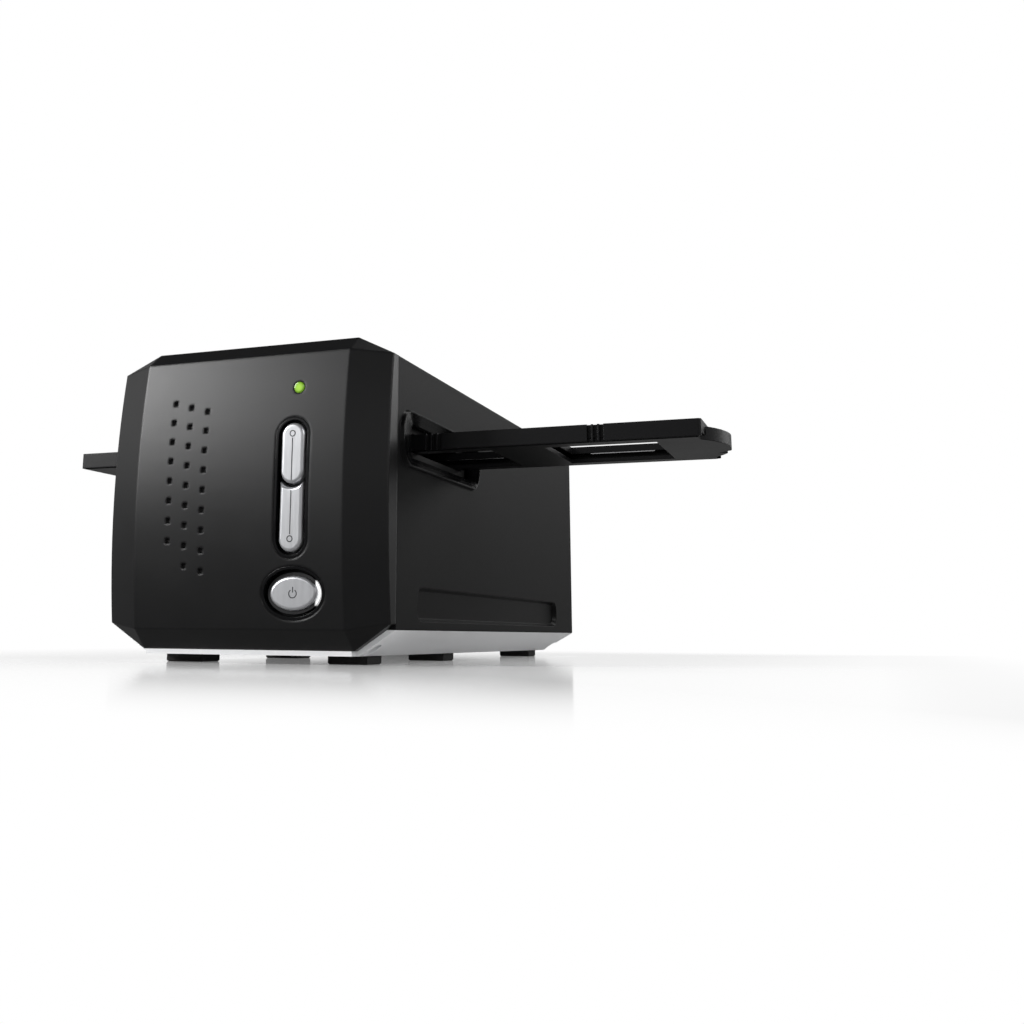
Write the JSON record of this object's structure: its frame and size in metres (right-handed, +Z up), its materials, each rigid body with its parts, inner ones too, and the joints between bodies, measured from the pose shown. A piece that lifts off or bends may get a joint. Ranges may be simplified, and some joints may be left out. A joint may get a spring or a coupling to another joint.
{
  "type": "film negative scanner",
  "caption": "Upright desktop film scanner: slide holder through both sides over a belt-driven scanning carriage, with press buttons on the front.",
  "frame": {"origin": "centre of the scanner body's footprint, on the plane its feet stand on", "axes": "+Z up; +X to the right seen from the front; +Y towards the back"},
  "size_m": [0.272, 0.272, 0.12],
  "materials": {
    "tray_silver": "fine satin silver moulding",
    "case_black": "smooth black with a soft gloss",
    "foot_rubber": "dull black",
    "screw_steel": "zinc plated",
    "surround_black": "glossy black",
    "button_silver": "silver lacquer",
    "light_white": "translucent white light guide",
    "lens_green": "clear yellow-green light pipe",
    "board_green": "green solder mask",
    "switch_black": "moulded black",
    "led_clear": "clear epoxy",
    "holder_black": "fine matt black",
    "spring_steel": "bright spring steel",
    "sheet_steel": "zinc plated sheet",
    "inner_black": "matt black against stray light",
    "diffuser_milk": "milky sheet",
    "led_white": "white diode package",
    "rod_steel": "ground and polished",
    "bush_bronze": "sintered bronze",
    "mirror": "front-silvered glass",
    "barrel_black": "black anodised tube",
    "lens_glass": "coated glass",
    "ceramic_dark": "dark ceramic package",
    "gear_white": "natural acetal",
    "motor_can": "drawn steel can",
    "pinion_brass": "turned brass",
    "belt_rubber": "black synthetic rubber",
    "chip_black": "moulded epoxy",
    "post_brass": "plated brass posts",
    "socket_metal": "tinned shell",
    "jack_black": "moulded black",
    "ribbon_white": "white flat cable"
  },
  "bodies": {
    "body": {"base_tray": "tray_silver", "top_cover": "case_black", "rear_panel": "case_black", "front_bezel": "case_black", "rubber_feet": "foot_rubber", "case_screws": "screw_steel", "button_surround": "surround_black", "power_surround": "surround_black", "power_light_ring": "light_white", "status_lens": "lens_green", "button_board": "board_green", "board_screws": "screw_steel", "tact_switches": "switch_black", "front_leds": "led_clear", "chassis": "sheet_steel", "chassis_screws": "screw_steel", "film_guide": "inner_black", "film_guide_cover": "inner_black", "guide_screws": "screw_steel", "detent_spring": "spring_steel", "lamp_housing": "inner_black", "lamp_diffuser": "diffuser_milk", "lamp_board": "board_green", "lamp_leds": "led_white", "guide_rod_left": "rod_steel", "guide_rod_right": "rod_steel", "drive_axle": "rod_steel", "stepper_motor": "motor_can", "motor_bracket": "sheet_steel", "idler_bracket": "sheet_steel", "tension_spring": "spring_steel", "drive_belt": "belt_rubber", "home_sensor": "switch_black", "main_board": "board_green", "board_chips": "chip_black", "standoffs": "post_brass", "main_board_screws": "screw_steel", "usb_socket": "socket_metal", "power_jack": "jack_black", "sensor_ribbon": "ribbon_white", "front_ribbon": "ribbon_white"},
    "film_holder": {"holder_plate": "holder_black", "holder_frame": "holder_black", "slide_springs": "spring_steel"},
    "scan_upper": {"scan_button_upper": "button_silver"},
    "scan_lower": {"scan_button_lower": "button_silver"},
    "power": {"power_button": "button_silver"},
    "carriage": {"optics_carriage": "inner_black", "carriage_bushes": "bush_bronze", "mirror": "mirror", "lens_barrel": "barrel_black", "lens_glass": "lens_glass", "lens_clamp": "sheet_steel", "sensor_board": "board_green", "image_sensor": "ceramic_dark", "carriage_lid": "inner_black", "belt_clamp": "inner_black"},
    "gear": {"drive_gear": "gear_white"},
    "pinion": {"motor_pinion": "pinion_brass"},
    "idler": {"idler_pulley": "gear_white"}
  },
  "joints": [
    {"name": "holder_slide", "type": "slide", "parent": "body", "child": "film_holder", "axis": [1, 0, 0], "range_m": [-0.126, 0.063]},
    {"name": "scan_upper_press", "type": "slide", "parent": "body", "child": "scan_upper", "axis": [0, 1, 0], "range_m": [0, 0.001], "stiffness_N_per_m": 300},
    {"name": "scan_lower_press", "type": "slide", "parent": "body", "child": "scan_lower", "axis": [0, 1, 0], "range_m": [0, 0.001], "stiffness_N_per_m": 300},
    {"name": "power_press", "type": "slide", "parent": "body", "child": "power", "axis": [0, 1, 0], "range_m": [0, 0.001], "stiffness_N_per_m": 300},
    {"name": "carriage_travel", "type": "slide", "parent": "body", "child": "carriage", "axis": [0, 1, 0], "range_m": [-0.038, 0]},
    {"name": "gear_spin", "type": "hinge", "parent": "body", "child": "gear", "pos_m": [0.0408, 0.092, 0.0215], "axis": [0, 0, 1], "range_deg": [-1, 323.6]},
    {"name": "pinion_spin", "type": "hinge", "parent": "body", "child": "pinion", "pos_m": [0.0408, 0.1088, 0.0215], "axis": [0, 0, 1], "range_deg": [-970.7, 3]},
    {"name": "idler_spin", "type": "hinge", "parent": "body", "child": "idler", "pos_m": [0.0408, -0.092, 0.0215], "axis": [0, 0, 1], "range_deg": [-1, 323.6]}
  ],
  "couplings": [
    {"joint": "gear_spin", "follows": "carriage_travel", "rad_per_m": -148.15},
    {"joint": "pinion_spin", "follows": "carriage_travel", "rad_per_m": 444.44},
    {"joint": "idler_spin", "follows": "carriage_travel", "rad_per_m": -148.15}
  ]
}
